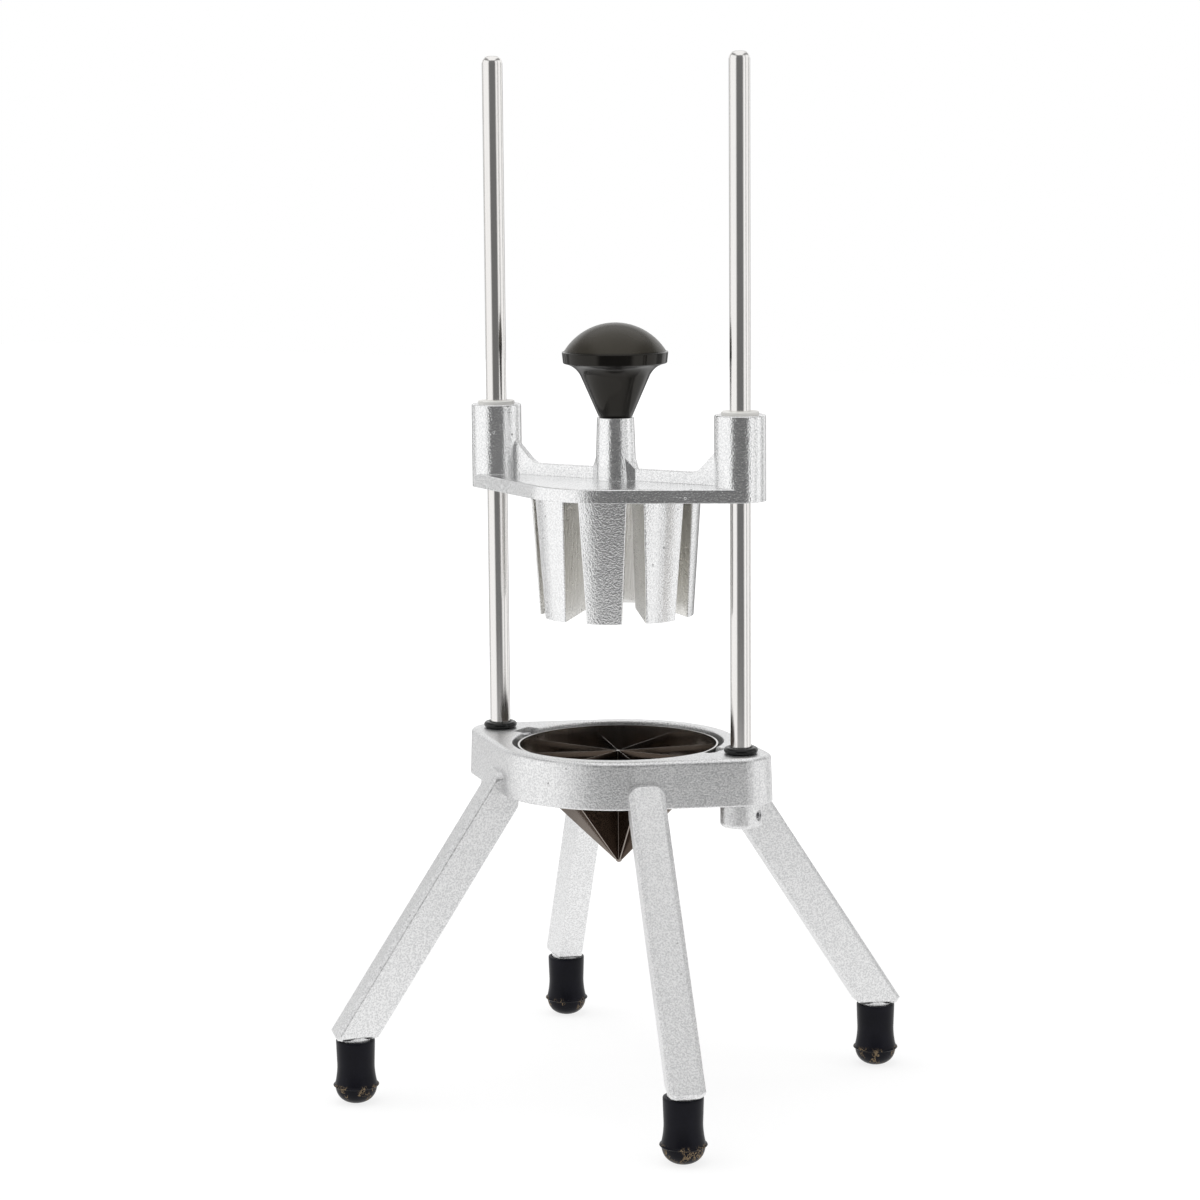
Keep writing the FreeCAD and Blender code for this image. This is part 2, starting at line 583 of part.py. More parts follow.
def rib_web(side):
    """The thicker web where the rib meets the post, sloped down onto the rib."""
    rib_top = PLATE_TOP + RIB_HEIGHT
    start = POST_TOP_RADIUS / 2
    stop = POST_BASE_RADIUS + RIB_WEB_REACH
    bottom = BOSS_BOTTOM + JOIN_OVER
    profile = [
        (side * start, bottom),
        (side * start, rib_top + RIB_WEB_HEIGHT),
        (side * stop, rib_top),
        (side * stop, bottom),
    ]
    plate = upright_plate(profile, 3 * RIB_WEB_HALF_WIDTH)
    plan = [
        V(side * start, -RIB_WEB_HALF_WIDTH, bottom),
        V(side * stop, -RIB_THICKNESS / 2, bottom),
        V(side * stop, RIB_THICKNESS / 2, bottom),
        V(side * start, RIB_WEB_HALF_WIDTH, bottom),
    ]
    column = Part.Face(Part.makePolygon(plan + [plan[0]])).extrude(V(0, 0, 2 * POST_TOP_ABOVE_PLATE))
    return plate.common(column)


def pusher_casting():
    """Plate, guide bosses, post, ribs and fingers in one casting."""
    outline = (PLATE_RADIUS, BOSS_RADIUS)
    body = hull_block(outline, outline, PLATE_TOP, BOSS_BOTTOM)
    body = body.makeFillet(PLATE_ROUNDING, edges_at_height(body, PLATE_TOP))
    for index in range(BLADE_COUNT):
        body = body.fuse(finger(STEP * (index + 0.5)))
    post = Part.makeCone(
        POST_BASE_RADIUS, POST_TOP_RADIUS, POST_TOP_ABOVE_PLATE, V(0, 0, PLATE_TOP), UP
    )
    body = body.fuse(post)
    for side in (-1, 1):
        boss = pin(BOSS_RADIUS, BOSS_BOTTOM, BOSS_TOP, side * ROD_X)
        boss = boss.makeFillet(BOSS_TOP_ROUNDING, circle_edges(boss, BOSS_RADIUS, BOSS_TOP))
        body = body.fuse(boss)
        body = body.fuse(rib(side))
        body = body.fuse(rib_web(side))
    boss_bore = BUSH_DIAMETER / 2 + PRESS_GAP
    for side in (-1, 1):
        body = body.cut(pin(boss_bore, BOSS_BOTTOM - CUT_OVER, BOSS_TOP + CUT_OVER, side * ROD_X))
    stud_hole_bottom = POST_TOP - STUD_IN_POST - STUD_HOLE_SPARE
    body = body.cut(pin(STUD_DIAMETER / 2 + PRESS_GAP, stud_hole_bottom, POST_TOP + CUT_OVER))
    return body.removeSplitter()


def upper_bush(side):
    """A guide bush with a flange on top of its boss."""
    bush_top = BOSS_TOP + BUSH_FLANGE_THICKNESS / 2
    bush = pin(BUSH_DIAMETER / 2, BOSS_TOP - BUSH_LENGTH, bush_top, side * ROD_X)
    flange_top = BOSS_TOP + BUSH_FLANGE_THICKNESS
    flange = pin(BUSH_FLANGE_DIAMETER / 2, BOSS_TOP, flange_top, side * ROD_X)
    flange_edge = circle_edges(flange, BUSH_FLANGE_DIAMETER / 2, flange_top)
    flange = flange.makeFillet(BUSH_FLANGE_ROUNDING, flange_edge)
    bore = pin(ROD_RADIUS + RUNNING_GAP, BOSS_BOTTOM, flange_top + CUT_OVER, side * ROD_X)
    return bush.fuse(flange).cut(bore)


def lower_bush(side):
    """A plain guide bush inside the lower end of its boss."""
    bottom = BOSS_BOTTOM + BUSH_LOWER_INSET
    top = bottom + BUSH_LENGTH
    bush = pin(BUSH_DIAMETER / 2, bottom, top, side * ROD_X)
    return bush.cut(pin(ROD_RADIUS + RUNNING_GAP, bottom - CUT_OVER, top + CUT_OVER, side * ROD_X))


def knob():
    """The palm knob: a cone, a flared underside, an upright rim and a low dome."""
    neck = KNOB_BOTTOM
    cone_top = neck + KNOB_CONE_HEIGHT
    rim_bottom = neck + KNOB_FLARE_HEIGHT
    rim_top = rim_bottom + KNOB_RIM_HEIGHT
    top = neck + KNOB_HEIGHT
    rim_foot = KNOB_RIM_RADIUS - KNOB_RIM_TAPER
    flare_middle = V(
        KNOB_CONE_RADIUS + KNOB_FLARE_BEND_OUT * (rim_foot - KNOB_CONE_RADIUS), 0,
        cone_top + KNOB_FLARE_BEND_UP * (rim_bottom - cone_top),
    )
    dome_rise = top - rim_top
    dome_radius = (KNOB_RIM_RADIUS ** 2 + dome_rise ** 2) / (2 * dome_rise)
    middle_radius = KNOB_RIM_RADIUS / 2
    dome_middle_z = top - dome_radius + math.sqrt(dome_radius ** 2 - middle_radius ** 2)
    edges = [
        Part.LineSegment(V(0, 0, neck), V(KNOB_NECK_RADIUS, 0, neck)).toShape(),
        Part.LineSegment(V(KNOB_NECK_RADIUS, 0, neck), V(KNOB_CONE_RADIUS, 0, cone_top)).toShape(),
        Part.Arc(V(KNOB_CONE_RADIUS, 0, cone_top), flare_middle, V(rim_foot, 0, rim_bottom)).toShape(),
        Part.LineSegment(V(rim_foot, 0, rim_bottom), V(KNOB_RIM_RADIUS, 0, rim_top)).toShape(),
        Part.Arc(
            V(KNOB_RIM_RADIUS, 0, rim_top), V(middle_radius, 0, dome_middle_z), V(0, 0, top)
        ).toShape(),
        Part.LineSegment(V(0, 0, top), V(0, 0, neck)).toShape(),
    ]
    body = Part.Face(Part.Wire(edges)).revolve(ORIGIN, UP, 360)
    body = body.makeFillet(KNOB_RIM_ROUNDING, circle_edges(body, KNOB_RIM_RADIUS, rim_top))
    hole_top = neck + INSERT_LENGTH + PRESS_GAP
    insert_hole = pin(INSERT_DIAMETER / 2 + PRESS_GAP, neck - CUT_OVER, hole_top)
    return body.cut(insert_hole)


def knob_insert():
    """The threaded metal insert moulded in the knob."""
    body = pin(INSERT_DIAMETER / 2, KNOB_BOTTOM, KNOB_BOTTOM + INSERT_LENGTH)
    hole_top = KNOB_BOTTOM + STUD_IN_KNOB + PRESS_GAP
    return body.cut(pin(STUD_DIAMETER / 2 + PRESS_GAP, KNOB_BOTTOM - CUT_OVER, hole_top))


def knob_stud():
    """The stud that joins knob and post."""
    return pin(STUD_DIAMETER / 2, POST_TOP - STUD_IN_POST, POST_TOP + STUD_IN_KNOB)


def build_parts():
    """All nodes by name."""
    parts = {"base_casting": base_casting(), "blade_ring": blade_ring()}
    for name, side in (("left", -1), ("right", 1)):
        parts["guide_rod_" + name] = rod(side)
        parts["rod_set_screw_" + name] = set_screw(side)
        parts["bumper_ring_" + name] = bumper(side)
        parts["blade_ring_screw_" + name] = ear_screw(side)
        parts["upper_bush_" + name] = upper_bush(side)
        parts["lower_bush_" + name] = lower_bush(side)
    for name, azimuth in leg_azimuths().items():
        parts["foot_" + name] = foot(azimuth)
    for index in range(BLADE_COUNT):
        parts["blade_%d" % (index + 1)] = blade(STEP * index)
    parts["blade_centre_weld"] = centre_weld()
    parts["pusher_casting"] = pusher_casting()
    parts["knob"] = knob()
    parts["knob_insert"] = knob_insert()
    parts["knob_stud"] = knob_stud()
    return parts


def main():
    """Check each solid and write its file."""
    os.makedirs("parts", exist_ok=True)
    for name, shape in build_parts().items():
        volume = round(shape.Volume, 1)
        print(name, "solids", len(shape.Solids), "valid", shape.isValid(), "volume", volume)
        shape.exportStep("parts/%s.step" % name)


main()
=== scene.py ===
"""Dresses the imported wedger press: finishes, finer blades, feet and knob, studio and camera."""

import json
import logging
import math
from dataclasses import dataclass
from enum import Enum
from typing import Dict, List, Optional, Sequence, Tuple, Union

import bpy
from mathutils import Matrix, Vector

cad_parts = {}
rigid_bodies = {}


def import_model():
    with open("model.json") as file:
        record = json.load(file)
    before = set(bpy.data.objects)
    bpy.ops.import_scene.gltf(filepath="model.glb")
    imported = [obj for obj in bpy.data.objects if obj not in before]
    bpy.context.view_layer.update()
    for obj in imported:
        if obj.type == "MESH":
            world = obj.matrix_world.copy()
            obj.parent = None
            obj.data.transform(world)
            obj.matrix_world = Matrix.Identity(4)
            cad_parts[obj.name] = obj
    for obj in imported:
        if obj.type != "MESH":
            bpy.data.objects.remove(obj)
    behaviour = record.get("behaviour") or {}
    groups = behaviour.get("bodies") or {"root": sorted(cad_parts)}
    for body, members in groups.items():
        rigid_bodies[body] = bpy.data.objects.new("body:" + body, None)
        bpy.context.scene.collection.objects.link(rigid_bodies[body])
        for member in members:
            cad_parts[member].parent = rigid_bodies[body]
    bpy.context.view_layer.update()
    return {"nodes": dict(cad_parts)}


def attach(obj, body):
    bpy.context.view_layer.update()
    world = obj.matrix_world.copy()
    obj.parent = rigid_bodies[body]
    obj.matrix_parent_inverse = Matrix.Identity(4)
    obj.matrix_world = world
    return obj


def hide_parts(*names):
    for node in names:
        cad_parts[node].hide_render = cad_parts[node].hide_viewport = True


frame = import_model()

LOG = logging.getLogger("wedger_press")
MM = 0.001
NOISE_MIDDLE = 0.5
WHITE = (1.0, 1.0, 1.0, 1.0)
LEVEL = (1.0, 1.0, 0.0)
ORIGIN = (0.0, 0.0, 0.0)
Triple = Tuple[float, float, float]
Colour = Triple
Point = Tuple[float, float]
Range = Tuple[float, float]


class Side(Enum):
    """The two ends of the press, along X."""

    LEFT = "left"
    RIGHT = "right"


class Corner(Enum):
    """The four legs."""

    FRONT_LEFT = "front_left"
    FRONT_RIGHT = "front_right"
    REAR_RIGHT = "rear_right"
    REAR_LEFT = "rear_left"


class Grain(Enum):
    """How a casting's skin looks."""

    BLASTED = "blasted"
    STREAKED = "streaked"


# Shader maths


class Signal:
    """A shader socket that takes part in Python arithmetic."""

    def __init__(self, shader: "Shader", socket: bpy.types.NodeSocket) -> None:
        """Keeps the socket and the tree that it belongs to."""
        self.shader = shader
        self.socket = socket

    def _math(self, operation: str, *values: "Value") -> "Signal":
        """Adds one Math node.

        Args:
            operation: The Math node's operation.
            values: Its inputs in order.

        Returns:
            The node's result.
        """
        inputs = dict(enumerate(values))
        return self.shader.node("ShaderNodeMath", {"operation": operation}, inputs)

    def __add__(self, other: "Value") -> "Signal":
        """self + other."""
        return self._math("ADD", self, other)

    def __radd__(self, other: "Value") -> "Signal":
        """other + self."""
        return self._math("ADD", other, self)

    def __sub__(self, other: "Value") -> "Signal":
        """self - other."""
        return self._math("SUBTRACT", self, other)

    def __rsub__(self, other: "Value") -> "Signal":
        """other - self."""
        return self._math("SUBTRACT", other, self)

    def __mul__(self, other: "Value") -> "Signal":
        """self * other."""
        return self._math("MULTIPLY", self, other)

    def __rmul__(self, other: "Value") -> "Signal":
        """other * self."""
        return self._math("MULTIPLY", other, self)

    def __abs__(self) -> "Signal":
        """The size of self."""
        return self._math("ABSOLUTE", self)

    def top(self, other: "Value") -> "Signal":
        """The larger of the two."""
        return self._math("MAXIMUM", self, other)

    def step(self, low: float, high: float) -> "Signal":
        """A smooth rise from 0 at low to 1 at high.

        Args:
            low: Where it leaves 0.
            high: Where it reaches 1. It may be below low.

        Returns:
            The rise.
        """
        first, last = (0.0, 1.0) if low < high else (1.0, 0.0)
        inputs = {0: self, 1: min(low, high), 2: max(low, high), 3: first, 4: last}
        return self.shader.node("ShaderNodeMapRange", {"interpolation_type": "SMOOTHSTEP"}, inputs)


Value = Union[Signal, float, Sequence[float]]


class Shader:
    """Builds the nodes of one material or world."""

    MIX_COLOURS = (6, 7)
    MIX_RESULT = 2

    def __init__(self, tree: bpy.types.NodeTree) -> None:
        """Starts from an empty tree."""
        self.tree = tree
        tree.nodes.clear()

    def node(
        self,
        kind: str,
        settings: Optional[Dict[str, object]] = None,
        inputs: Optional[Dict[Union[int, str], Value]] = None,
        output: Union[int, str] = 0,
    ) -> Signal:
        """Adds one node.

        Args:
            kind: The node's type.
            settings: Its properties, set first.
            inputs: Values or links by socket name or number.
            output: Which output to return.

        Returns:
            That output.
        """
        made = self.tree.nodes.new(kind)
        for name, value in (settings or {}).items():
            setattr(made, name, value)
        for key, value in (inputs or {}).items():
            socket = made.inputs[key]
            if isinstance(value, Signal):
                self.tree.links.new(value.socket, socket)
            else:
                socket.default_value = value
        return Signal(self, made.outputs[output] if made.outputs else None)

    def place(self) -> Signal:
        """The point on the piece, in metres."""
        return self.node("ShaderNodeTexCoord", output="Object")

    def split(self, vector: Signal) -> Tuple[Signal, Signal, Signal]:
        """A vector's X, Y and Z."""
        first = self.node("ShaderNodeSeparateXYZ", {}, {0: vector})
        outputs = first.socket.node.outputs
        return first, Signal(self, outputs[1]), Signal(self, outputs[2])

    def level(self, vector: Signal) -> Signal:
        """A vector's level direction, one unit long."""
        return self.vector("NORMALIZE", self.vector("MULTIPLY", vector, LEVEL), ORIGIN)

    def vector(self, operation: str, a: Value, b: Value, output: int = 0) -> Signal:
        """One Vector Math node.

        Args:
            operation: The node's operation.
            a: First vector.
            b: Second vector.
            output: 0 for a vector, 1 for a number.

        Returns:
            The result.
        """
        return self.node("ShaderNodeVectorMath", {"operation": operation}, {0: a, 1: b}, output)

    def noise(self, vector: Signal, scale: float, detail: float = 2.0, rough: float = 0.5) -> Signal:
        """Smooth noise from 0 to 1.

        Args:
            vector: Where to read it.
            scale: Its frequency per metre.
            detail: Octaves.
            rough: How strong the finer octaves are.

        Returns:
            The noise.
        """
        inputs = {"Vector": vector, "Scale": scale, "Detail": detail, "Roughness": rough}
        return self.node("ShaderNodeTexNoise", {}, inputs)

    def spots(self, vector: Signal, scale: float) -> Signal:
        """Distance to the nearest of scattered points, in cells."""
        return self.node("ShaderNodeTexVoronoi", {}, {"Vector": vector, "Scale": scale}, "Distance")

    def blend(self, factor: Value, a: Union[Signal, Colour], b: Union[Signal, Colour]) -> Signal:
        """Mixes two colours.

        Args:
            factor: 0 gives a, 1 gives b.
            a: First colour.
            b: Second colour.

        Returns:
            The mixed colour.
        """
        inputs: Dict[Union[int, str], Value] = {0: factor}
        for socket, end in zip(self.MIX_COLOURS, (a, b)):
            inputs[socket] = end if isinstance(end, Signal) else (*end, 1.0)
        return self.node("ShaderNodeMix", {"data_type": "RGBA"}, inputs, self.MIX_RESULT)

    def softened(self, radius: float) -> Signal:
        """The surface's normal, with its edges rounded off over a radius in metres."""
        return self.node("ShaderNodeBevel", {"samples": 4}, {"Radius": radius})

    def bump(
        self, height: Signal, depth: float, strength: float, normal: Optional[Signal] = None
    ) -> Signal:
        """A normal from a height.

        Args:
            height: 0 to 1.
            depth: What 1 stands for, in metres.
            strength: How much of it shows.
            normal: The normal that it starts from, if not the surface's own.

        Returns:
            The normal.
        """
        inputs: Dict[Union[int, str], Value] = {"Height": height, "Distance": depth, "Strength": strength}
        if normal:
            inputs["Normal"] = normal
        return self.node("ShaderNodeBump", {}, inputs)


# Finishes


@dataclass(frozen=True)
class Finish:
    """What every finish shares."""

    name: str
    colour: Colour
    rough: float
    metallic: float = 1.0
    specular: float = 0.5
    tint: Colour = (1.0, 1.0, 1.0)

    def sockets(self, shader: Shader) -> Dict[str, Value]:
        """The varying sockets of the surface.

        Args:
            shader: The tree to add nodes to.

        Returns:
            Values or links by socket name.
        """
        raise NotImplementedError

    def shaded(self, share: float) -> Colour:
        """The finish's colour times a share, no lighter than white."""
        red, green, blue = (min(1.0, part * share) for part in self.colour)
        return red, green, blue

    def material(self) -> bpy.types.Material:
        """Makes the material, or returns it if it is already made."""
        ready = bpy.data.materials.get(self.name)
        if ready:
            return ready
        made = bpy.data.materials.new(self.name)
        made.use_nodes = True
        shader = Shader(made.node_tree)
        inputs: Dict[Union[int, str], Value] = {
            "Metallic": self.metallic,
            "Specular IOR Level": self.specular,
            "Specular Tint": (*self.tint, 1.0),
        }
        inputs.update(self.sockets(shader))
        surface = shader.node("ShaderNodeBsdfPrincipled", {}, inputs)
        shader.node("ShaderNodeOutputMaterial", {}, {"Surface": surface})
        return made


@dataclass(frozen=True)
class CastAluminium(Finish):
    """Die cast aluminium: fine sparkling grain, slow clouding and a few small pits.

    Scales are per metre, depths of the bump are metres, and shares and ranges are of the noise.
    """

    grain: Grain = Grain.BLASTED
    grain_scale: float = 1400.0
    coarse_scale: float = 1050.0
    coarse_share: float = 0.28
    tone_range: Range = (0.37, 0.63)
    grain_dark: float = 0.84
    grain_light: float = 1.04
    grain_rough: float = 0.16
    grain_depth: float = 0.00021
    bump_strength: float = 0.85
    edge_radius: float = 0.0005
    cloud_scale: float = 38.0
    cloud_share: float = 0.15
    cloud_rough: float = 0.08
    pit_scale: float = 130.0
    pit_range: Range = (0.09, 0.036)
    pit_patch_scale: float = 20.9
    pit_patches: Range = (0.52, 0.60)
    pit_depth: float = 1.6
    pit_share: float = 0.6
    pit_colour: Colour = (0.34, 0.34, 0.34)
    streak_scale: float = 620.0
    streak_stretch: Triple = (1.0, 1.0, 0.14)
    streak_range: Range = (0.3, 0.7)
    streak_share: float = 0.5
    streak_depth: float = 1.8
    streak_rough: float = 0.10
    streak_shade: float = 0.88
    streak_tint: Colour = (1.0, 0.97, 0.90)
    streak_tint_share: float = 0.6
    side_facing: Range = (0.75, 0.45)
    side_top: Range = (0.281, 0.278)

    def sockets(self, shader: Shader) -> Dict[str, Value]:
        """See Finish.sockets."""
        place = shader.place()
        grain = shader.noise(place, self.grain_scale, detail=1.0)
        coarse = shader.noise(place, self.coarse_scale, detail=1.0)
        cloud = shader.noise(place, self.cloud_scale, detail=3.0)
        pits = self._pits(shader, place)
        speck = grain * (1 - self.coarse_share) + coarse * self.coarse_share
        tone = speck.step(*self.tone_range)
        rough = self.rough + (cloud - NOISE_MIDDLE) * self.cloud_rough
        rough = rough + (grain - NOISE_MIDDLE) * self.grain_rough
        height = speck - pits * self.pit_depth
        tints: List[Tuple[Signal, Colour]] = []
        if self.grain is Grain.STREAKED:
            side = self._finger_sides(shader, place)
            stretched = shader.vector("MULTIPLY", place, self.streak_stretch)
            streak = shader.noise(stretched, self.streak_scale, detail=3.0, rough=0.6)
            share = side * self.streak_share
            tone = tone * (1 - share) + streak.step(*self.streak_range) * share
            rough = rough + side * self.streak_rough
            height = height + streak * side * self.streak_depth
            tints.append((side * self.streak_tint_share, self._streak_colour()))
        tints.append((pits * self.pit_share, self.pit_colour))
        tone = tone * (1 - self.cloud_share) + cloud * self.cloud_share
        colour = shader.blend(tone, self.shaded(self.grain_dark), self.shaded(self.grain_light))
        for share, tint in tints:
            colour = shader.blend(share, colour, tint)
        edges = shader.softened(self.edge_radius)
        normal = shader.bump(height, self.grain_depth, self.bump_strength, edges)
        return {"Base Color": colour, "Roughness": rough, "Normal": normal}

    def _pits(self, shader: Shader, place: Signal) -> Signal:
        """1 in each pit. The pits lie in patches."""
        patches = shader.noise(place, self.pit_patch_scale, detail=0.0).step(*self.pit_patches)
        return shader.spots(place, self.pit_scale).step(*self.pit_range) * patches

    def _streak_colour(self) -> Colour:
        """The warm shade of the streaked faces."""
        pairs = zip(self.shaded(self.streak_shade), self.streak_tint)
        red, green, blue = (part * tint for part, tint in pairs)
        return red, green, blue

    def _finger_sides(self, shader: Shader, place: Signal) -> Signal:
        """Where the skin is a finger's side face, which the die left streaked."""
        _, _, height = shader.split(place)
        normal = shader.node("ShaderNodeNewGeometry", output="Normal")
        facing = abs(shader.vector("DOT_PRODUCT", normal, shader.level(place), 1))
        return facing.step(*self.side_facing) * height.step(*self.side_top)


@dataclass(frozen=True)
class DrawnSteel(Finish):
    """Bright steel with fine lines along one direction, and slow stains."""

    stretch: Triple = (1.0, 1.0, 0.01)
    line_scale: float = 1400.0
    line_share: float = 0.6
    line_rough: float = 0.08
    line_depth: float = 0.00002
    bump_strength: float = 0.30
    cloud_scale: float = 26.0
    cloud_rough: float = 0.05
    stain: float = 0.12

    def sockets(self, shader: Shader) -> Dict[str, Value]:
        """See Finish.sockets."""
        place = shader.place()
        stretched = shader.vector("MULTIPLY", place, self.stretch)
        lines = shader.noise(stretched, self.line_scale, detail=2.0, rough=0.6)
        cloud = shader.noise(place, self.cloud_scale, detail=3.0, rough=0.55)
        tone = lines * self.line_share + cloud * (1 - self.line_share)
        colour = shader.blend(tone, self.shaded(1 - self.stain), self.colour)
        rough = self.rough + (lines - NOISE_MIDDLE) * self.line_rough
        rough = rough + (cloud - NOISE_MIDDLE) * self.cloud_rough
        normal = shader.bump(lines, self.line_depth, self.bump_strength)
        return {"Base Color": colour, "Roughness": rough, "Normal": normal}


@dataclass(frozen=True)
class PalmMoulding(Finish):
    """Black moulding: polished rim and cone, and a dome that palms have dulled to a rougher skin, its
    lighter brown colour a painted sheen.
    """

    dome_range: Range = (0.3464, 0.3475)
    dome_rough: float = 0.27
    # The dome's lighter brown colour, a painted sheen.
    sheen_colour: Colour = (0.032, 0.028, 0.021)
    sheen_base_share: float = 0.6
    flow_scale: float = 60.0
    flow_range: Range = (0.35, 0.8)
    flow_share: float = 0.6
    flow_rough: float = 0.08
    flow_dome: float = 0.5
    mark_scale: float = 900.0
    mark_stretch: Triple = (1.0, 1.0, 0.06)
    mark_range: Range = (0.55, 0.8)
    mark_rough_range: Range = (0.58, 0.75)
    mark_rough: float = 0.10
    worn: float = 2.2
    grain_scale: float = 1400.0
    grain_depth: float = 0.00006
    grain_polished: float = 0.2
    bump_strength: float = 0.35

    def sockets(self, shader: Shader) -> Dict[str, Value]:
        """See Finish.sockets."""
        place = shader.place()
        _, _, height = shader.split(place)
        dome = height.step(*self.dome_range)
        flow = shader.noise(place, self.flow_scale, detail=3.0)
        grain = shader.noise(place, self.grain_scale, detail=2.0, rough=0.6)
        upright = shader.vector("MULTIPLY", place, self.mark_stretch)
        marks = shader.noise(upright, self.mark_scale, detail=2.0, rough=0.6)
        wear = flow.step(*self.flow_range) * self.flow_share
        wear = wear + marks.step(*self.mark_range) * (1 - self.flow_share)
        colour = shader.blend(wear, self.colour, self.shaded(self.worn))
        # Mixes in the dome's painted sheen: a lighter brown colour, patchy with the flow noise.
        dome_painted_sheen = dome * (flow * self.flow_dome + self.sheen_base_share)
        colour = shader.blend(dome_painted_sheen, colour, self.sheen_colour)
        rough = self.rough + dome * (self.dome_rough - self.rough)
        rough = rough + (flow - NOISE_MIDDLE) * self.flow_rough
        rough = rough + marks.step(*self.mark_rough_range) * (1 - dome) * self.mark_rough
        skin = grain * (dome * (1 - self.grain_polished) + self.grain_polished)
        normal = shader.bump(skin, self.grain_depth, self.bump_strength)
        return {"Base Color": colour, "Roughness": rough, "Normal": normal}


@dataclass(frozen=True)
class FootRubber(Finish):
    """Black satin rubber, with tan scribbled scuffs where the foot has rubbed on the table."""

    scuff: Colour = (0.34, 0.25, 0.15)
    scuff_share: float = 0.85
    scuff_rough: float = 0.30
    scuff_top: Range = (0.0102, 0.0080)
    patch_scale: float = 150.0
    patch_range: Range = (0.48, 0.58)
    line_scale: float = 520.0
    line_stretch: Triple = (1.0, 1.0, 0.6)
    line_range: Range = (0.045, 0.015)
    bloom: float = 1.8
    bloom_scale: float = 75.0
    bloom_range: Range = (0.3, 0.8)
    bloom_rough: float = 0.14
    skin_scale: float = 1100.0
    skin_depth: float = 0.00008
    bump_strength: float = 0.35

    def sockets(self, shader: Shader) -> Dict[str, Value]:
        """See Finish.sockets."""
        place = shader.place()
        _, _, height = shader.split(place)
        low = height.step(*self.scuff_top)
        patches = shader.noise(place, self.patch_scale, detail=2.0).step(*self.patch_range)
        stretched = shader.vector("MULTIPLY", place, self.line_stretch)
        line = abs(shader.noise(stretched, self.line_scale, detail=3.0, rough=0.6) - NOISE_MIDDLE)
        scuffs = low * patches * line.step(*self.line_range)
        bloom = shader.noise(place, self.bloom_scale, detail=3.0, rough=0.6)
        base = shader.blend(bloom.step(*self.bloom_range), self.colour, self.shaded(self.bloom))
        colour = shader.blend(scuffs * self.scuff_share, base, self.scuff)
        rough = self.rough + (bloom - NOISE_MIDDLE) * self.bloom_rough + scuffs * self.scuff_rough
        skin = shader.noise(place, self.skin_scale, detail=3.0, rough=0.6) + scuffs
        normal = shader.bump(skin, self.skin_depth, self.bump_strength)
        return {"Base Color": colour, "Roughness": rough, "Normal": normal}


@dataclass(frozen=True)
class PlainMoulding(Finish):
    """Smooth rubber or nylon with a little clouding."""

    cloud: float = 0.12
    cloud_scale: float = 150.0
    cloud_rough: float = 0.10
    skin_scale: float = 1600.0
    skin_rough: float = 0.06
    skin_depth: float = 0.00004
    bump_strength: float = 0.30

    def sockets(self, shader: Shader) -> Dict[str, Value]:
        """See Finish.sockets."""
        place = shader.place()
        cloud = shader.noise(place, self.cloud_scale, detail=3.0, rough=0.55)
        skin = shader.noise(place, self.skin_scale, detail=2.0)
        colour = shader.blend(cloud, self.shaded(1 - self.cloud), self.colour)
        rough = self.rough + (cloud - NOISE_MIDDLE) * self.cloud_rough
        rough = rough + (skin - NOISE_MIDDLE) * self.skin_rough
        normal = shader.bump(skin, self.skin_depth, self.bump_strength)
        return {"Base Color": colour, "Roughness": rough, "Normal": normal}


BASE_SKIN = CastAluminium(
    "cast aluminium, blasted", (0.98, 0.985, 0.99), 0.38, grain_dark=0.70, grain_light=1.08
)
PUSHER_SKIN = CastAluminium("cast aluminium, streaked", (0.98, 0.985, 0.99), 0.20, grain=Grain.STREAKED)
ROD_STEEL = DrawnSteel("drawn rod", (0.95, 0.93, 0.91), 0.17)
# The blade strip is darkened and browned well below bright steel: a painted dark reflection of the
# shadowed, brownish inside of the cone.
BLADE_STEEL_PAINTED_DARK = DrawnSteel(
    "blade strip, painted dark reflection", (0.30, 0.26, 0.23), 0.13, stretch=(1.0, 1.0, 0.05), line_scale=900.0
)
BAND_STEEL = DrawnSteel(
    "blade band", (0.62, 0.61, 0.59), 0.16, stretch=(1.0, 1.0, 0.05), line_scale=900.0
)
SCREW_STEEL = DrawnSteel(
    "plain steel", (0.66, 0.66, 0.67), 0.28, stretch=(1.0, 1.0, 0.3), line_scale=1800.0
)
BRASS = DrawnSteel("turned brass", (0.72, 0.55, 0.28), 0.25, stretch=(0.2, 0.2, 1.0), line_scale=2000.0)
# The dome of this moulding carries a painted sheen in its colour.
KNOB_BLACK = PalmMoulding(
    "palm worn black moulding, painted dome sheen", (0.0040, 0.0036, 0.0032), 0.08,
    metallic=0.0, specular=0.34, tint=(1.0, 0.95, 0.86),
)
FOOT_BLACK = FootRubber("black foot rubber", (0.005, 0.005, 0.008), 0.36, metallic=0.0, specular=0.12)
RING_BLACK = PlainMoulding("glossy black rubber", (0.006, 0.006, 0.006), 0.20, metallic=0.0, specular=0.35)
NYLON = PlainMoulding("natural nylon", (0.84, 0.83, 0.80), 0.42, metallic=0.0, cloud=0.06)


# Mesh making


def dress(node: str, finish: Finish) -> None:
    """Gives a CAD node its finish.

    Args:
        node: The node's name.
        finish: What it is finished in.
    """
    piece = frame["nodes"][node]
    if not piece.material_slots:
        piece.data.materials.append(finish.material())
    for slot in piece.material_slots:
        slot.material = finish.material()
    LOG.info("dressed %s in %s", node, finish.name)


def dress_pair(stem: str, finish: Finish) -> None:
    """Gives the left and the right node of a pair their finish.

    Args:
        stem: The nodes' name without its side.
        finish: What they are finished in.
    """
    for side in Side:
        dress(f"{stem}_{side.value}", finish)


